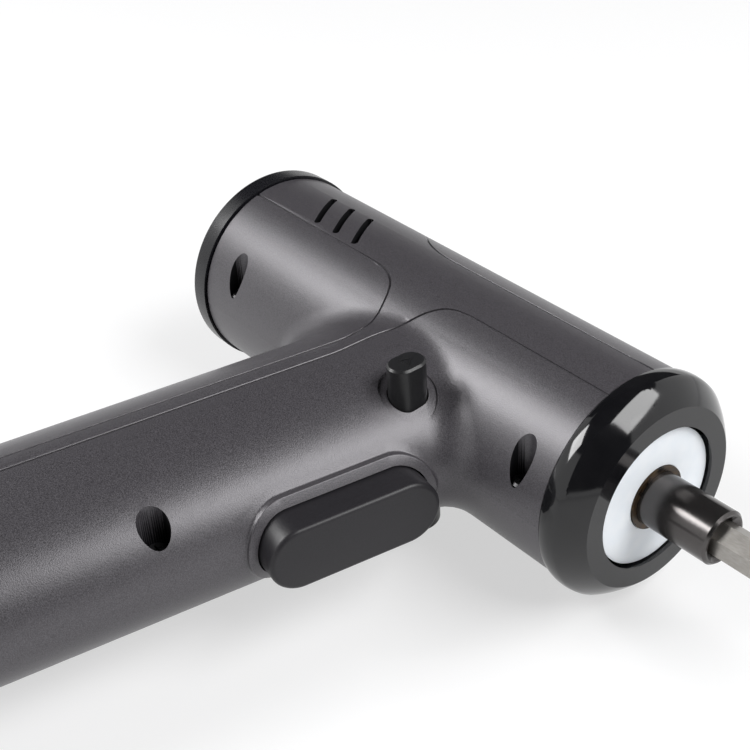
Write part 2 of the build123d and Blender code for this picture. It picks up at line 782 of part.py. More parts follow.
with BuildPart() as motor_end_bell:
    with BuildSketch(across(motor_back - 2.5)):
        Circle(motor_r)
    extrude(amount=2.5)
    with BuildSketch(across(motor_back)):
        Circle(motor_r - motor_can_wall - running)
        Circle(0.45 * motor_r, mode=Mode.SUBTRACT)
    extrude(amount=4)
    with BuildSketch(across(motor_back - 5)):
        Circle(3 * motor_shaft_r)
    extrude(amount=2.5)
    with BuildSketch(across(motor_back - 3 - seat_gap)):
        Circle(motor_shaft_r + running)
    extrude(amount=3 + seat_gap, mode=Mode.SUBTRACT)
finish(motor_end_bell, "motor_end_bell")

brush_station = motor_back + 6
with BuildPart() as motor_brushes:
    with BuildSketch(across(brush_station)):
        brush_low = 3 * motor_shaft_r + running
        with Locations((0, brush_low + 3), (0, -brush_low - 3)):
            Rectangle(3, 6)
    extrude(amount=3)
finish(motor_brushes, "motor_brushes")

# Trigger: a hollow stadium cap with a flange that keeps it in the case
trigger_face = grip_front + trigger_proud
skirt_back = flange_back + 3.4
flange_thick = 1.2
flange_rim = 1.2
web_thick = 1.4
flange_shift = switch_down - trigger_down
flange_long = trigger_long - 2 * flange_shift
with BuildPart() as trigger:
    with BuildSketch(trigger_centre.offset(skirt_back)):
        SlotOverall(trigger_long, trigger_wide)
    extrude(amount=trigger_face - skirt_back)
    fillet(trigger.faces().sort_by(Axis(trigger_centre.origin, grip_forward))[-1].edges(), trigger_edge)
    with BuildSketch(trigger_centre.offset(flange_back)):
        with Locations((-flange_shift, 0)):
            SlotOverall(flange_long, trigger_wide)
    extrude(amount=skirt_back - flange_back)
    with BuildSketch(trigger_centre.offset(flange_back)):
        with Locations((-flange_shift, 0)):
            SlotOverall(flange_long + 2 * flange_rim, trigger_wide + 2 * flange_rim)
    extrude(amount=flange_thick)
    with BuildSketch(trigger_centre.offset(flange_back + web_thick)):
        with Locations((-flange_shift, 0)):
            SlotOverall(flange_long - 2 * trigger_wall, trigger_wide - 2 * trigger_wall)
    extrude(amount=trigger_face - trigger_edge - flange_back - web_thick, mode=Mode.SUBTRACT)
finish(trigger, "trigger")

# Trigger switch: its plunger is pushed by the trigger's web
plunger_r = 2.4
plunger_long = 8.0
switch_edge = 1.0
switch_centre = facing(switch_down, 0)
with BuildPart() as trigger_switch:
    with BuildSketch(switch_centre.offset(switch_front - switch_deep)):
        RectangleRounded(switch_long, 2 * switch_half, switch_edge)
    extrude(amount=switch_deep)
    with BuildSketch(switch_centre.offset(switch_front)):
        Circle(plunger_r + seat_gap)
    extrude(amount=-plunger_long, mode=Mode.SUBTRACT)
finish(trigger_switch, "trigger_switch")

plunger_back = switch_front - plunger_long + trigger_travel + 2 * seat_gap
with BuildPart() as switch_plunger:
    with BuildSketch(switch_centre.offset(plunger_back)):
        Circle(plunger_r)
    extrude(amount=flange_back - plunger_back)
finish(switch_plunger, "switch_plunger")

# Direction button: a straight stadium bar from side to side, with a round
# cap on its left-hand end that stops it on the floor of its pocket
button_edge = 0.4
cap_back_face = pocket_floor - seat_gap
cap_out = grip_half - button_cap_in
with BuildPart() as direction_button:
    with BuildSketch(side.offset(cap_back_face)):
        with Locations(Location((button_x, button_y, 0), (0, 0, 90))):
            SlotOverall(button_long, button_wide)
    extrude(amount=grip_half + button_proud - cap_back_face)
    chamfer(direction_button.faces().sort_by(Axis.Z)[-1].edges(), button_edge)
    with BuildSketch(side.offset(cap_back_face)):
        with Locations((button_x, button_y)):
            Circle(button_cap_r)
    extrude(amount=-cap_out - cap_back_face)
    chamfer(direction_button.faces().sort_by(Axis.Z)[0].edges(), button_edge)
finish(direction_button, "direction_button")

# Direction switch with the knob that the button carries on its rear face
knob_high = button_long - button_wide - 2 * seat_gap
knob_long = 3.0
with BuildPart() as direction_knob:
    with BuildSketch(side.offset((button_travel - knob_long) / 2)):
        with Locations((button_x - (button_wide + knob_thick) / 2, button_y)):
            Rectangle(knob_thick, knob_high)
    extrude(amount=knob_long)
finish(direction_knob, "direction_knob")

with BuildPart() as direction_switch:
    with BuildSketch(side.offset(-slide_switch_half)):
        with Locations((slide_switch_x, button_y)):
            Rectangle(slide_switch_deep, slide_switch_high)
    extrude(amount=2 * slide_switch_half)
finish(direction_switch, "direction_switch")

# Cell with its two welded tabs
cell_edge = 0.6
with BuildPart() as battery_cell:
    with BuildSketch(girth(cell_down)):
        with Locations((-cell_back, 0)):
            Circle(cell_r)
    extrude(amount=cell_length)
    chamfer(battery_cell.edges(), cell_edge)
finish(battery_cell, "battery_cell")

tab_thick = 0.4
with BuildPart() as cell_tabs:
    with BuildSketch(girth(cell_down)):
        with Locations((-cell_back, 0)):
            Rectangle(0.9 * cell_r, 0.7 * cell_r)
    extrude(amount=-tab_thick)
    with BuildSketch(girth(cell_down + cell_length)):
        with Locations((-cell_back, 0)):
            Rectangle(0.9 * cell_r, 0.7 * cell_r)
    extrude(amount=tab_thick)
finish(cell_tabs, "cell_tabs")

# Main board, its socket and the charge lamp beside it
inner_deep = grip_front - wall
inner_wide = grip_half - wall
board_half = inner_wide * sqrt(1 - ((board_forward + board_thick) / inner_deep) ** 2) - 0.3
board_end = base_down - 2.0
with BuildPart() as main_board:
    with BuildSketch(girth(board_down)):
        with Locations((board_forward + board_thick / 2, 0)):
            Rectangle(board_thick, 2 * board_half)
    extrude(amount=board_end - board_down)
finish(main_board, "main_board")

port_long = 7.4
port_mouth = board_end + 3.2
port_shell = 0.35
with BuildPart() as charge_port:
    with BuildSketch(girth(port_mouth - port_long)):
        with Locations((port_forward, 0)):
            RectangleRounded(port_high, port_wide, port_high / 2.2)
    extrude(amount=port_long)
    with BuildSketch(girth(port_mouth)):
        with Locations((port_forward, 0)):
            RectangleRounded(port_high - 2 * port_shell, port_wide - 2 * port_shell,
                             port_high / 2.2 - port_shell)
            Rectangle(2 * port_shell, port_wide - 8 * port_shell, mode=Mode.SUBTRACT)
    extrude(amount=-port_long + 4 * port_shell, mode=Mode.SUBTRACT)
finish(charge_port, "charge_port")
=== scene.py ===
# %% [markdown]
# # A cordless screwdriver on a pale table
# The solids of this tool come in ready made: two case shells, a bezel, a light, a gearbox, a motor.
# What is left is how they look. This lesson dresses them, one finish at a time, sets up soft studio
# light and puts the camera where the photographer stood.

# %% Load the solids
import json
from math import cos, pi, radians, sin

import bmesh
import bpy
from mathutils import Matrix, Vector
from mathutils.bvhtree import BVHTree

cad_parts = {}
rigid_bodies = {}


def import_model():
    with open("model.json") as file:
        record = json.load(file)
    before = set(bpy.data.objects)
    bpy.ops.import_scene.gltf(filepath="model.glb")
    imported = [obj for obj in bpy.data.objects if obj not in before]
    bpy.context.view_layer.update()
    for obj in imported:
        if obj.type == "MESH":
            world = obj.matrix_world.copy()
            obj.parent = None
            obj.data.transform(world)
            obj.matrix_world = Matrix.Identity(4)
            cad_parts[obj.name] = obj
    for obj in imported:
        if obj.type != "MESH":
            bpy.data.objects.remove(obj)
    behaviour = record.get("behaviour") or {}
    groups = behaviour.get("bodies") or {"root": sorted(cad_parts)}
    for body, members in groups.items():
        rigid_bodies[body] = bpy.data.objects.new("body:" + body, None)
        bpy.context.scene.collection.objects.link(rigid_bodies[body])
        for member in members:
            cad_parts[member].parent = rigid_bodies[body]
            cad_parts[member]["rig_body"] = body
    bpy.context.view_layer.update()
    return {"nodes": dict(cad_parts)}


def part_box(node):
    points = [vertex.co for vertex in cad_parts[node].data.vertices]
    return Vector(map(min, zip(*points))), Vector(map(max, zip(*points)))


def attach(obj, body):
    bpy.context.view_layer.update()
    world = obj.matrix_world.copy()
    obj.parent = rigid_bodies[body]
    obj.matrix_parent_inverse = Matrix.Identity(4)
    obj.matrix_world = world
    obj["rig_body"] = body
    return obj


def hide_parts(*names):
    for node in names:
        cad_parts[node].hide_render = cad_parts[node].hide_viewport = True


MM = 0.001

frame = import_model()
nodes = frame["nodes"]

# %% [markdown]
# ## One point to measure from
# The barrel is round, so everything on it is easy to place from its axis. The light's white ring
# faces forward, and the middle of its face lies on that axis: this is the point that the camera,
# the lamps and the vents are measured from.

# %% Find the middle of the light
disc_low, disc_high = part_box("light_diffuser")
nose = Vector((disc_high.x, (disc_low.y + disc_high.y) / 2, (disc_low.z + disc_high.z) / 2))
print("middle of the light, mm:", [round(c / MM, 1) for c in nose])

# %% [markdown]
# ## The camera
# The photograph looks at the tool's right side from the front and above. Its place was worked out
# from circles that are seen as ellipses: the rings at both ends of the barrel. A camera's matrix
# holds its right, its up and its backward direction, so the three go in as columns.

# %% Place the camera
CAMERA_OFFSET = Vector((133.939, -164.279, 170.927)) * MM
CAMERA_RIGHT = Vector((0.62446, 0.77937, -0.05129))
CAMERA_UP = Vector((-0.41147, 0.38408, 0.82654))
CAMERA_BACK = Vector((0.66388, -0.49504, 0.56053))
FOCAL_PIXELS = 1403.67
IMAGE_PIXELS = 750
SENSOR_MM = 36

camera_data = bpy.data.cameras.new("camera")
camera_data.sensor_fit = "HORIZONTAL"
camera_data.sensor_width = SENSOR_MM
camera_data.lens = FOCAL_PIXELS / IMAGE_PIXELS * SENSOR_MM
camera = bpy.data.objects.new("camera", camera_data)
bpy.context.scene.collection.objects.link(camera)
camera_turn = Matrix((CAMERA_RIGHT, CAMERA_UP, CAMERA_BACK)).transposed().to_4x4()
camera.matrix_world = Matrix.Translation(nose + CAMERA_OFFSET) @ camera_turn
bpy.context.scene.camera = camera
bpy.context.scene.view_settings.view_transform = "Standard"
print("lens, mm:", round(camera_data.lens, 2))

# %% [markdown]
# ## A pale floor and three dark cards
# Black plastic shows what stood round the tool: white on every side near the floor, but nothing
# bright overhead or behind the camera. Photographers darken such parts of a studio with cards, and
# so does this scene. Floor and cards are flat grids, scaled and then put in place, and the camera
# doesn't see the cards.

# %% A helper that makes an object of a mesh
def new_object(name, mesh, material):
    """An object at the origin, made of a bmesh that is done with, in one material."""
    data = bpy.data.meshes.new(name)
    mesh.to_mesh(data)
    mesh.free()
    data.materials.append(material)
    piece = bpy.data.objects.new(name, data)
    bpy.context.scene.collection.objects.link(piece)
    return piece


# %% A helper for flat pieces of the set
SET_ROUGHNESS = 0.7
SET_SPECULAR = 0.2


def flat_piece(name, width, length, place, colour):
    """A flat floor or card, `width` by `length` metres, that belongs to the set."""
    mesh = bmesh.new()
    bmesh.ops.create_grid(mesh, x_segments=1, y_segments=1, size=0.5)
    bmesh.ops.scale(mesh, vec=(width, length, 1), verts=mesh.verts)
    bmesh.ops.transform(mesh, matrix=place, verts=mesh.verts)
    material = bpy.data.materials.new(name + "_finish")
    material.use_nodes = True
    shader = material.node_tree.nodes["Principled BSDF"]
    shader.inputs["Base Color"].default_value = (*colour, 1)
    shader.inputs["Roughness"].default_value = SET_ROUGHNESS
    shader.inputs["Specular IOR Level"].default_value = SET_SPECULAR
    piece = new_object(name, mesh, material)
    return piece


# %% A helper for directions
def towards(turn, rise, distance):
    """A place that faces away from the light's middle, `distance` metres from it.

    The turn is counted from +X and the rise from the floor, both in degrees.
    """
    level = cos(radians(rise))
    direction = Vector((level * cos(radians(turn)), level * sin(radians(turn)), sin(radians(rise))))
    place = nose + distance * direction
    return Matrix.Translation(place) @ direction.to_track_quat("Z", "Y").to_matrix().to_4x4()


# %% Lay the floor and hang the cards
FLOOR_WIDE = 6
FLOOR_COLOUR = (0.93, 0.93, 0.935)
CARD_COLOUR = (0.03, 0.03, 0.03)
CARD_AWAY = 1.2
CARDS = {  # width and length in metres, turn and rise in degrees
    "roof_card": (2.6, 2.6, 0, 90),
    "near_card": (1.6, 1.3, -32, 32),
    "far_card": (1.7, 0.9, 140, 30),
}

floor = flat_piece("floor", FLOOR_WIDE, FLOOR_WIDE, Matrix.Identity(4), FLOOR_COLOUR)
for name, (width, length, turn, rise) in CARDS.items():
    card = flat_piece(name, width, length, towards(turn, rise, CARD_AWAY), CARD_COLOUR)
    card.visible_camera = False
print("cards:", len(CARDS))

# %% [markdown]
# ### A floor that is nearly white
# The photograph's background is white. A brighter lamp would bleach the tool as well, so the floor
# shows a share of pure white instead, but only to the camera, in reflections and through anything
# clear. Light that the floor sends on to the tool isn't changed, and the tool's shadow stays.

# %% A helper that tells which rays see a thing directly
def larger(tree, first, second):
    """A socket that holds the larger of two values."""
    node = tree.nodes.new("ShaderNodeMath")
    node.operation = "MAXIMUM"
    tree.links.new(first, node.inputs[0])
    tree.links.new(second, node.inputs[1])
    return node.outputs[0]


def seen_directly(tree):
    """A socket that is 1 for rays from the camera, off gloss or through glass, and 0 for others."""
    path = tree.nodes.new("ShaderNodeLightPath")
    mirrored = larger(tree, path.outputs["Is Glossy Ray"], path.outputs["Is Transmission Ray"])
    return larger(tree, path.outputs["Is Camera Ray"], mirrored)


# %% Lift the floor towards white
FLOOR_LIFT = 0.6

floor_tree = floor.data.materials[0].node_tree
share = floor_tree.nodes.new("ShaderNodeMath")
share.operation = "MULTIPLY"
share.inputs[1].default_value = FLOOR_LIFT
white = floor_tree.nodes.new("ShaderNodeEmission")
white.inputs["Strength"].default_value = 1.0
mix = floor_tree.nodes.new("ShaderNodeMixShader")
floor_tree.links.new(seen_directly(floor_tree), share.inputs[0])
floor_tree.links.new(share.outputs[0], mix.inputs["Fac"])
floor_tree.links.new(floor_tree.nodes["Principled BSDF"].outputs[0], mix.inputs[1])
floor_tree.links.new(white.outputs[0], mix.inputs[2])
floor_tree.links.new(mix.outputs[0], floor_tree.nodes["Material Output"].inputs["Surface"])
print("floor lifted by", FLOOR_LIFT)

# %% [markdown]
# ## Two soft boxes
# The photograph shows where its light came from. Wherever a surface is bright, the view ray bounces
# off it towards a lamp, and these bounced rays meet in two places: one box stands to the left of
# the tool, the other to its right and higher. Rectangular area lamps give the same soft edges.

# %% Hang the soft boxes
LAMP_AWAY = 0.9


def soft_box(name, turn, rise, width, height, watts):
    """A rectangular area lamp that faces the middle of the light."""
    lamp_data = bpy.data.lights.new(name, "AREA")
    lamp_data.shape = "RECTANGLE"
    lamp_data.size = width
    lamp_data.size_y = height
    lamp_data.energy = watts
    lamp = bpy.data.objects.new(name, lamp_data)
    bpy.context.scene.collection.objects.link(lamp)
    lamp.matrix_world = towards(turn, rise, LAMP_AWAY)
    print(name, "turn", turn, "rise", rise, watts, "W")


soft_box("left_box", turn=-140, rise=38, width=0.44, height=0.32, watts=6)
soft_box("right_box", turn=31, rise=51, width=0.70, height=0.44, watts=9)

# %% [markdown]
# ### Light from all sides
# A studio's walls send some light back from everywhere. The world does that here: it is a faint,
# slightly cool light, and pure white where it is seen directly.

# %% Light the surroundings
AMBIENT_COLOUR = (0.95, 0.97, 1.0)
AMBIENT_STRENGTH = 0.45

world = bpy.data.worlds.new("studio")
bpy.context.scene.world = world
world.use_nodes = True
sky = world.node_tree
sky.nodes.clear()
ambient = sky.nodes.new("ShaderNodeBackground")
ambient.inputs["Color"].default_value = (*AMBIENT_COLOUR, 1)
ambient.inputs["Strength"].default_value = AMBIENT_STRENGTH
backdrop = sky.nodes.new("ShaderNodeBackground")
backdrop.inputs["Color"].default_value = (1, 1, 1, 1)
backdrop.inputs["Strength"].default_value = 1.0
choice = sky.nodes.new("ShaderNodeMixShader")
output = sky.nodes.new("ShaderNodeOutputWorld")
sky.links.new(seen_directly(sky), choice.inputs["Fac"])
sky.links.new(ambient.outputs[0], choice.inputs[1])
sky.links.new(backdrop.outputs[0], choice.inputs[2])
sky.links.new(choice.outputs[0], output.inputs["Surface"])
print("ambient strength:", AMBIENT_STRENGTH)

# %% [markdown]
# ## Finishes
# The finishes here have one thing in common: a fine grain that makes the colour, the gloss and
# often the surface itself vary a little from place to place. One helper makes that grain from a
# noise pattern in the object's own coordinates, and each finish chooses its sizes and its colours.

# %% A helper for grained finishes
NOISE_LOW = 0.3
NOISE_HIGH = 0.7


def grained(name, dark, light, grain, roughness, metallic=0.0, specular=0.5, bump=0.0,
            stretch=(1, 1, 1)):
    """A finish whose colour runs from dark to light over patches about `grain` metres across."""
    material = bpy.data.materials.new(name)
    material.use_nodes = True
    tree = material.node_tree
    shader = tree.nodes["Principled BSDF"]
    shader.inputs["Metallic"].default_value = metallic
    shader.inputs["Specular IOR Level"].default_value = specular
    place = tree.nodes.new("ShaderNodeTexCoord")
    mapping = tree.nodes.new("ShaderNodeMapping")
    mapping.inputs["Scale"].default_value = stretch
    noise = tree.nodes.new("ShaderNodeTexNoise")
    noise.inputs["Scale"].default_value = 1 / grain
    tint = tree.nodes.new("ShaderNodeValToRGB")
    tint.color_ramp.elements[0].position = NOISE_LOW
    tint.color_ramp.elements[0].color = (*dark, 1)
    tint.color_ramp.elements[1].position = NOISE_HIGH
    tint.color_ramp.elements[1].color = (*light, 1)
    gloss = tree.nodes.new("ShaderNodeMapRange")
    gloss.inputs["From Min"].default_value = NOISE_LOW
    gloss.inputs["From Max"].default_value = NOISE_HIGH
    gloss.inputs["To Min"].default_value, gloss.inputs["To Max"].default_value = roughness
    tree.links.new(place.outputs["Object"], mapping.inputs["Vector"])
    tree.links.new(mapping.outputs["Vector"], noise.inputs["Vector"])
    tree.links.new(noise.outputs["Fac"], tint.inputs["Fac"])
    tree.links.new(tint.outputs["Color"], shader.inputs["Base Color"])
    tree.links.new(noise.outputs["Fac"], gloss.inputs["Value"])
    tree.links.new(gloss.outputs["Result"], shader.inputs["Roughness"])
    if bump:
        relief = tree.nodes.new("ShaderNodeBump")
        relief.inputs["Strength"].default_value = 1.0
        relief.inputs["Distance"].default_value = bump
        tree.links.new(noise.outputs["Fac"], relief.inputs["Height"])
        tree.links.new(relief.outputs["Normal"], shader.inputs["Normal"])
    return material


# %% [markdown]
# ### The case's metallic paint
# The case is moulded plastic under a dark grey paint with fine metal flakes. Seen close, single
# flakes are lighter than the rest. A grain a fifth of a millimetre wide, partly metallic and with a
# very low relief, gives that sparkle.

# %% Mix the case paint
case_paint = grained("case_paint", dark=(0.044, 0.041, 0.046), light=(0.100, 0.094, 0.104),
                     grain=0.22 * MM, roughness=(0.30, 0.44), metallic=0.3, specular=0.7,
                     bump=0.028 * MM)
print("materials so far:", len(bpy.data.materials))

# %% [markdown]
# ### Black plastics
# The bezel is polished; the direction button, the trigger and the rear cap are satin. They are all
# nearly black, and differ in how sharp their reflections are.

# %% Mix the black plastics
SATIN_SPECULAR = 0.33

bezel_gloss = grained("bezel_gloss", dark=(0.005, 0.005, 0.006), light=(0.007, 0.007, 0.008),
                      grain=4 * MM, roughness=(0.07, 0.11))
button_gloss = grained("button_gloss", dark=(0.012, 0.012, 0.013), light=(0.016, 0.016, 0.017),
                       grain=0.5 * MM, roughness=(0.3, 0.36), specular=SATIN_SPECULAR)
trigger_satin = grained("trigger_satin", dark=(0.014, 0.013, 0.015), light=(0.020, 0.019, 0.022),
                        grain=0.25 * MM, roughness=(0.36, 0.44), specular=SATIN_SPECULAR,
                        bump=0.003 * MM)
cap_satin = grained("cap_satin", dark=(0.006, 0.006, 0.008), light=(0.009, 0.009, 0.011),
                    grain=0.3 * MM, roughness=(0.24, 0.32), specular=SATIN_SPECULAR, bump=0.002 * MM)
inner_black = grained("inner_black", dark=(0.02, 0.02, 0.022), light=(0.032, 0.032, 0.035),
                      grain=0.8 * MM, roughness=(0.45, 0.6), bump=0.01 * MM)
print("materials so far:", len(bpy.data.materials))

# %% [markdown]
# ### The light's milky ring
# A diffuser lets light in and scatters it, which softens its shading. A little subsurface
# scattering does the same.

# %% Mix the milky plastic
SCATTER_SHARE = 0.15
SCATTER_DEPTH = 1.5 * MM

milky = grained("milky", dark=(0.76, 0.80, 0.84), light=(0.80, 0.83, 0.86),
                grain=3 * MM, roughness=(0.42, 0.5))
milky_shader = milky.node_tree.nodes["Principled BSDF"]
milky_shader.inputs["Subsurface Weight"].default_value = SCATTER_SHARE
milky_shader.inputs["Subsurface Radius"].default_value = (1, 1, 1)
milky_shader.inputs["Subsurface Scale"].default_value = SCATTER_DEPTH
print("scattering depth, mm:", round(SCATTER_DEPTH / MM, 2))

# %% [markdown]
# ### Metals
# Turned and ground metal has fine lines along the tool's path. Stretching the noise along one axis
# gives such lines: here they run round the spindle and along the bit.

# %% Mix the metals
black_steel = grained("black_steel", dark=(0.080, 0.075, 0.074), light=(0.100, 0.094, 0.092),
                      grain=0.3 * MM, roughness=(0.16, 0.22), metallic=0.85, stretch=(3, 0.3, 0.3))
bit_steel = grained("bit_steel", dark=(0.31, 0.295, 0.275), light=(0.37, 0.355, 0.335),
                    grain=0.3 * MM, roughness=(0.34, 0.42), metallic=1.0, bump=0.001 * MM,
                    stretch=(0.25, 1, 1))
plain_steel = grained("plain_steel", dark=(0.38, 0.38, 0.39), light=(0.52, 0.52, 0.53),
                      grain=0.6 * MM, roughness=(0.28, 0.4), metallic=1.0)
oxide_steel = grained("oxide_steel", dark=(0.03, 0.03, 0.032), light=(0.06, 0.058, 0.06),
                      grain=0.4 * MM, roughness=(0.3, 0.42), metallic=0.85)
oily_bush = grained("oily_bush", dark=(0.014, 0.011, 0.010), light=(0.07, 0.042, 0.018),
                    grain=1.4 * MM, roughness=(0.2, 0.45), metallic=0.7)
bronze = grained("bronze", dark=(0.42, 0.24, 0.11), light=(0.6, 0.36, 0.18),
                 grain=0.5 * MM, roughness=(0.3, 0.42), metallic=1.0)
ferrite = grained("ferrite", dark=(0.03, 0.03, 0.032), light=(0.06, 0.06, 0.062),
                  grain=0.7 * MM, roughness=(0.5, 0.65), bump=0.01 * MM)
nickel = grained("nickel", dark=(0.5, 0.48, 0.44), light=(0.64, 0.61, 0.57),
                 grain=0.8 * MM, roughness=(0.22, 0.32), metallic=1.0)
print("materials so far:", len(bpy.data.materials))

# %% [markdown]
# ### Inside the case
# These pieces are hidden, but whoever opens the model sees them, so they have their real finishes.

# %% Mix the inner finishes
board_green = grained("board_green", dark=(0.008, 0.075, 0.03), light=(0.015, 0.11, 0.05),
                      grain=1.5 * MM, roughness=(0.3, 0.4), bump=0.01 * MM)
lamp_yellow = grained("lamp_yellow", dark=(0.8, 0.68, 0.2), light=(0.9, 0.82, 0.4),
                      grain=0.6 * MM, roughness=(0.2, 0.3))
cell_sleeve = grained("cell_sleeve", dark=(0.02, 0.09, 0.3), light=(0.03, 0.12, 0.36),
                      grain=2 * MM, roughness=(0.25, 0.35), bump=0.01 * MM)
print("materials so far:", len(bpy.data.materials))

# %% [markdown]
# ## Smooth copies of the solids
# A solid arrives as loose triangles, and each is shaded flat. A copy with its corners merged can
# be shaded smoothly, while edges sharper than a limit stay crisp. The copy stands for the solid
# and rides on the same body.

# %% A helper that makes a smooth copy
MERGE_GAP = 0.002 * MM
SHARP_EDGE = radians(28)


def shade_softly(mesh):
    """Soft shading everywhere but at edges sharper than the limit."""
    for face in mesh.faces:
        face.smooth = True
    for edge in mesh.edges:
        edge.smooth = edge.calc_face_angle(pi) < SHARP_EDGE


def smooth_copy(node, material):
    """A copy of a CAD node with merged corners, soft shading and one finish."""
    mesh = bmesh.new()
    mesh.from_mesh(nodes[node].data)
    bmesh.ops.remove_doubles(mesh, verts=mesh.verts, dist=MERGE_GAP)
    shade_softly(mesh)
    piece = new_object(node + "_skin", mesh, material)
    flat_normals = piece.data.attributes.get("custom_normal")
    if flat_normals:
        piece.data.attributes.remove(flat_normals)
    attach(piece, nodes[node]["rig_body"])
    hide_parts(node)
    return piece


# %% Copy the pieces that show
SHOWN = {
    "right_shell": case_paint, "left_shell": case_paint, "front_bezel": bezel_gloss,
    "rear_cap": cap_satin, "light_diffuser": milky, "front_bush": oily_bush, "spindle": black_steel,
    "screwdriver_bit": bit_steel, "trigger": trigger_satin, "direction_button": button_gloss,
    "case_screws": oxide_steel, "charge_port": nickel, "gearbox_housing": inner_black,
}
skins = {node: smooth_copy(node, material) for node, material in SHOWN.items()}
print("smooth copies:", len(skins), "faces:", sum(len(skin.data.polygons) for skin in skins.values()))

# %% [markdown]
# ### Slightly wider vents
# The three vents are short slots, cut from the side, and the photograph shows them a little wider
# than the solids have them. A new cut would need new faces all round. Moving the two long walls of
# each slot apart doesn't: it leaves the number of faces as it is.

# %% Say where the vents are
VENTS = 3
VENT_PITCH = 6.8 * MM
VENT_AHEAD = 23.4 * MM
VENT_ABOVE = 0.5 * MM
VENT_HALF_LONG = 6.2 * MM
VENT_HALF_WIDE = 0.55 * MM
VENT_REACH = 1.1 * VENT_HALF_WIDE
VENT_TURN = radians(123)
VENT_SPREAD = 0.22 * MM

cap_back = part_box("rear_cap")[0].x
vent_along = Vector((cos(VENT_TURN), sin(VENT_TURN), 0))
vent_across = Vector((-vent_along.y, vent_along.x, 0))
first_vent = Vector((cap_back + VENT_AHEAD, nose.y + VENT_ABOVE, nose.z))
print("first vent at, mm:", [round(c / MM, 1) for c in first_vent])

# %% Move their walls apart
def spread_vents(piece):
    """Move the long walls of every vent outwards, each point by its distance from the middle."""
    mesh = bmesh.new()
    mesh.from_mesh(piece.data)
    moved = 0
    for number in range(VENTS):
        vent_middle = first_vent + Vector((number * VENT_PITCH, 0, 0))
        for vert in mesh.verts:
            offset = vert.co - vent_middle
            away = offset.dot(vent_across)
            if offset.z > 0 and abs(offset.dot(vent_along)) < VENT_HALF_LONG and abs(away) < VENT_REACH:
                vert.co += away / VENT_HALF_WIDE * VENT_SPREAD * vent_across
                moved += 1
    mesh.to_mesh(piece.data)
    mesh.free()
    print(piece.name, "points moved:", moved)


spread_vents(skins["right_shell"])

# %% [markdown]
# ### Where the paint stops, with painted shade in the recesses
# The case is painted once it is moulded, so the paint doesn't reach into the vents and the screw
# wells. They get a black that is darker than the plastic itself, which is painted shade for the
# shade that falls in them. A face belongs to such a recess if a ray that leaves it meets the
# shell again a few millimetres on. The fine lines are much narrower than that, and get their paint.

# %% Measure how open each face is
GROOVE_WIDE = 0.8 * MM
RECESS_WIDE = 8 * MM
RAY_LIFT = 0.02 * MM
OPEN_WAY = 1.0


def open_ways(mesh):
    """For each face, how far a ray from its middle travels before it meets the mesh again."""
    tree = BVHTree.FromBMesh(mesh)
    ways = {}
    for face in mesh.faces:
        start = face.calc_center_median() + face.normal * RAY_LIFT
        distance = tree.ray_cast(start, face.normal)[3]
        ways[face] = OPEN_WAY if distance is None else distance
    return ways


# %% [markdown]
# ### The edges of the fine lines
# A moulded line never has a perfectly sharp edge: a narrow chamfer catches the light and makes the
# line look pale from one side. Its edge joins an open face and one that looks across the groove. A
# chamfer on a very long edge would mark the smooth face beside it, so long edges are divided first.
# Near the direction button's dish and at the line's bend further back a chamfer would still mark
# the case, so the lines are left as they are there.

# %% Find the edges of the fine lines
SHARP_RIM = radians(50)
SHORTEST_RIM = 0.3 * MM
DISH_CLEAR = 9 * MM
BEND_CLEAR = 11 * MM

button_low, button_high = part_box("direction_button")
dish_middle = (button_low + button_high) / 2
line_bend = nose + Vector((-69, -9, 0)) * MM


def is_line_rim(edge, ways):
    """Whether an edge is the sharp outer edge of a fine line that gets a chamfer."""
    place = edge.verts[0].co.xy
    if (place - dish_middle.xy).length < DISH_CLEAR or (place - line_bend.xy).length < BEND_CLEAR:
        return False
    if len(edge.link_faces) != 2 or edge.calc_length() <= SHORTEST_RIM:
        return False
    if edge.calc_face_angle_signed(0) <= SHARP_RIM:
        return False
    near, far = sorted(ways[face] for face in edge.link_faces)
    return near < GROOVE_WIDE < far


# %% Darken the unpainted recesses with painted shade and break the edges of the lines
LONG_RIM = 6 * MM
LONG_CUTS = 7
RIM_BREAK = 0.13 * MM


def finish_recesses(piece, unpainted_and_shade):
    """Give wells and vents an unpainted black that also holds painted shade, and break the edges of the
    fine lines.
    """
    mesh = bmesh.new()
    mesh.from_mesh(piece.data)
    ways = open_ways(mesh)
    rims = [edge for edge in mesh.edges if is_line_rim(edge, ways)]
    long_rims = [edge for edge in rims if edge.calc_length() > LONG_RIM]
    bmesh.ops.subdivide_edges(mesh, edges=long_rims, cuts=LONG_CUTS)
    ways = open_ways(mesh)
    # A second slot for the unpainted black with painted shade, which the recess faces get.
    piece.data.materials.append(unpainted_and_shade)
    for face, way in ways.items():
        if GROOVE_WIDE < way < RECESS_WIDE:
            face.material_index = 1
    rims = [edge for edge in mesh.edges if is_line_rim(edge, ways)]
    bmesh.ops.bevel(mesh, geom=rims, offset=RIM_BREAK, segments=1, profile=0.5, affect="EDGES",
                    material=-1)
    mesh.to_mesh(piece.data)
    mesh.free()
    print(piece.name, "faces:", len(ways), "rim edges:", len(rims))


# Unpainted black plastic, made darker than the plastic itself as painted shade for the recesses.
bare_black_painted_shade = grained("bare_black_painted_shade", dark=(0.004, 0.004, 0.005), light=(0.007, 0.007, 0.008),
                     grain=0.8 * MM, roughness=(0.6, 0.7), specular=0.15, bump=0.005 * MM)
for node in ("right_shell", "left_shell"):
    finish_recesses(skins[node], bare_black_painted_shade)

# %% [markdown]
# ### A crisper trigger
# The trigger's face is flat, and a narrow rounded edge runs round it and catches the light as one
# bright line. A circle, cut in two halves that are moved apart, is its outline. Extruded, with its
# front edge bevelled, it makes the trigger's front; the hollow part behind it is a copy of the solid.

# %% Measure the trigger
GRIP_LEAN = radians(9)
FRONT_SAMPLE = 4 * MM

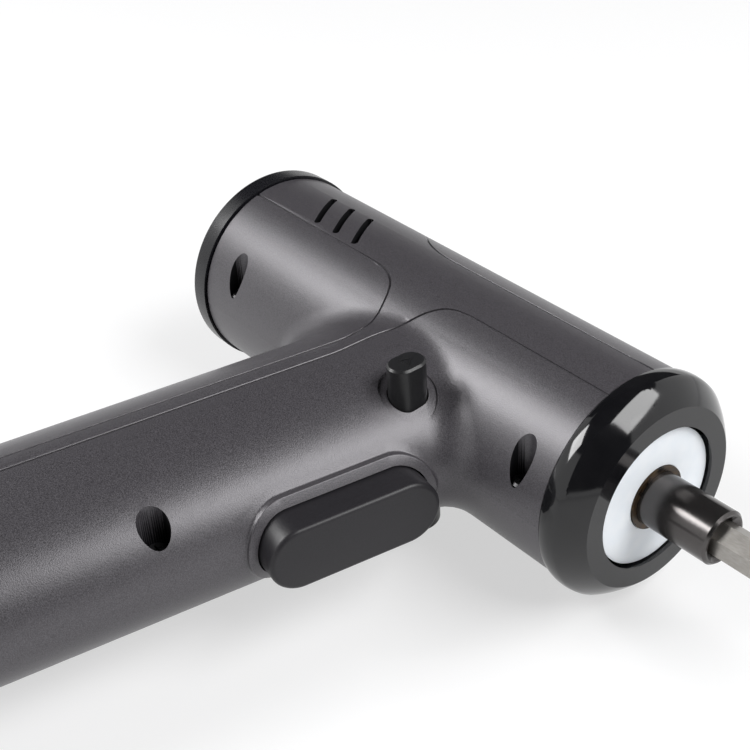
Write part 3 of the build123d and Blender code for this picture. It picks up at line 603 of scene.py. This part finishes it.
grip_down = Vector((-sin(GRIP_LEAN), -cos(GRIP_LEAN), 0))
grip_forward = Vector((cos(GRIP_LEAN), -sin(GRIP_LEAN), 0))
trigger_points = [vert.co for vert in nodes["trigger"].data.vertices]
face_reach = max(point.dot(grip_forward) for point in trigger_points)
front_start = face_reach - FRONT_SAMPLE
front_points = [point for point in trigger_points if point.dot(grip_forward) > front_start]
downs = [point.dot(grip_down) for point in front_points]
rises = [point.z for point in front_points]
trigger_long = max(downs) - min(downs)
trigger_wide = max(rises) - min(rises)
print("trigger, mm:", round(trigger_long / MM, 2), "by", round(trigger_wide / MM, 2))

# %% Draw the outline of its face
OUTLINE_POINTS = 64

front = bmesh.new()
bmesh.ops.create_circle(front, cap_ends=True, segments=OUTLINE_POINTS, radius=trigger_wide / 2)
half_step = Matrix.Rotation(pi / OUTLINE_POINTS, 3, "Z")
bmesh.ops.rotate(front, cent=(0, 0, 0), matrix=half_step, verts=front.verts)
for side in (-1, 1):
    end_points = [vert for vert in front.verts if vert.co.x * side > 0]
    bmesh.ops.translate(front, vec=(side * (trigger_long - trigger_wide) / 2, 0, 0), verts=end_points)
print("outline points:", len(front.verts))

# %% Extrude it and round its front edge
FRONT_DEEP = 3.2 * MM
EDGE_ROUND = 1.0 * MM
EDGE_STEPS = 5

outline = front.faces[:]
bmesh.ops.duplicate(front, geom=outline)
raised = bmesh.ops.extrude_face_region(front, geom=outline)["geom"]
raised_verts = [item for item in raised if isinstance(item, bmesh.types.BMVert)]
bmesh.ops.translate(front, vec=(0, 0, FRONT_DEEP), verts=raised_verts)
bmesh.ops.remove_doubles(front, verts=front.verts, dist=MERGE_GAP)
bmesh.ops.recalc_face_normals(front, faces=front.faces)
rim = [edge for edge in front.edges if all(vert.co.z > FRONT_DEEP / 2 for vert in edge.verts)]
bmesh.ops.bevel(front, geom=rim, offset=EDGE_ROUND, segments=EDGE_STEPS, profile=0.5, affect="EDGES",
                material=-1)
print("front faces:", len(front.faces))

# %% Set it in its place
FACE_BACK = 0.4 * MM

front_middle = (grip_down * (max(downs) + min(downs)) / 2
                + grip_forward * (face_reach - FACE_BACK - FRONT_DEEP)
                + Vector((0, 0, (max(rises) + min(rises)) / 2)))
front_turn = Matrix((-grip_down, Vector((0, 0, 1)), grip_forward)).transposed().to_4x4()
bmesh.ops.transform(front, matrix=Matrix.Translation(front_middle) @ front_turn, verts=front.verts)
print("middle of the front's back, mm:", [round(c / MM, 1) for c in front_middle])

# %% Join it to the hollow part behind
FRONT_OVERLAP = 0.02 * MM

rear = bmesh.new()
rear.from_mesh(skins["trigger"].data)
bmesh.ops.bisect_plane(rear, geom=rear.verts[:] + rear.edges[:] + rear.faces[:],
                       plane_co=front_middle + FRONT_OVERLAP * grip_forward, plane_no=grip_forward,
                       clear_outer=True)
spare = bpy.data.meshes.new("trigger_front")
front.to_mesh(spare)
front.free()
rear.from_mesh(spare)
bpy.data.meshes.remove(spare)
shade_softly(rear)
rear.to_mesh(skins["trigger"].data)
rear.free()
print("trigger faces:", len(skins["trigger"].data.polygons))

# %% [markdown]
# ### A triangle on the direction button
# A small raised outline on the button's top shows which end is pushed. A three-sided circle is
# inset, its middle is taken out, and what is left is lifted by a tenth of a millimetre.

# %% Raise the triangle
MARK_R = 1.5 * MM
MARK_LINE = 0.22 * MM
MARK_HIGH = 0.12 * MM

mark = bmesh.new()
bmesh.ops.create_circle(mark, cap_ends=True, segments=3, radius=MARK_R)
inner = mark.faces[:]
bmesh.ops.inset_region(mark, faces=inner, thickness=MARK_LINE, use_even_offset=True, use_boundary=True)
bmesh.ops.delete(mark, geom=inner, context="FACES")
lifted = bmesh.ops.extrude_face_region(mark, geom=mark.faces[:])["geom"]
lifted_verts = [item for item in lifted if isinstance(item, bmesh.types.BMVert)]
bmesh.ops.translate(mark, vec=(0, 0, MARK_HIGH), verts=lifted_verts)
bmesh.ops.recalc_face_normals(mark, faces=mark.faces)
print("triangle faces:", len(mark.faces))

# %% Put it on the button
MARK_TURN = radians(130)
TOP_SAMPLE = 2 * MM

button_points = [vert.co for vert in nodes["direction_button"].data.vertices]
top_points = [point for point in button_points if point.z > button_high.z - TOP_SAMPLE]
top_x = (max(point.x for point in top_points) + min(point.x for point in top_points)) / 2
top_y = (max(point.y for point in top_points) + min(point.y for point in top_points)) / 2
mark_place = Matrix.Translation((top_x, top_y, button_high.z)) @ Matrix.Rotation(MARK_TURN, 4, "Z")
bmesh.ops.transform(mark, matrix=mark_place, verts=mark.verts)
button_mark = new_object("button_mark", mark, button_gloss)
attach(button_mark, "direction_button")
print("triangle at, mm:", round(top_x / MM, 2), round(top_y / MM, 2))

# %% [markdown]
# ## The pieces inside
# The hidden solids keep their own meshes, which are never changed, and only get their finishes.

# %% Give the hidden solids their finishes
planets = [f"{stage}_planet_{number}" for stage in ("first", "second") for number in (1, 2, 3)]
HIDDEN = (
    (board_green, ["light_board", "main_board"]),
    (lamp_yellow, ["light_lamps"]),
    (cell_sleeve, ["battery_cell"]),
    (plain_steel, ["ring_gear", "first_carrier", "output_carrier", "motor_pinion", "retaining_clip",
                   "motor_can", "motor_core", "motor_shaft", "motor_plate", *planets]),
    (ferrite, ["socket_magnet", "motor_magnets", "motor_brushes"]),
    (bronze, ["motor_bush", "commutator"]),
    (inner_black, ["motor_end_bell", "trigger_switch", "direction_switch", "direction_knob",
                   "switch_plunger"]),
    (nickel, ["cell_tabs"]),
)
for finish, members in HIDDEN:
    for node in members:
        nodes[node].data.materials.clear()
        nodes[node].data.materials.append(finish)
print("hidden solids:", sum(len(members) for finish, members in HIDDEN))
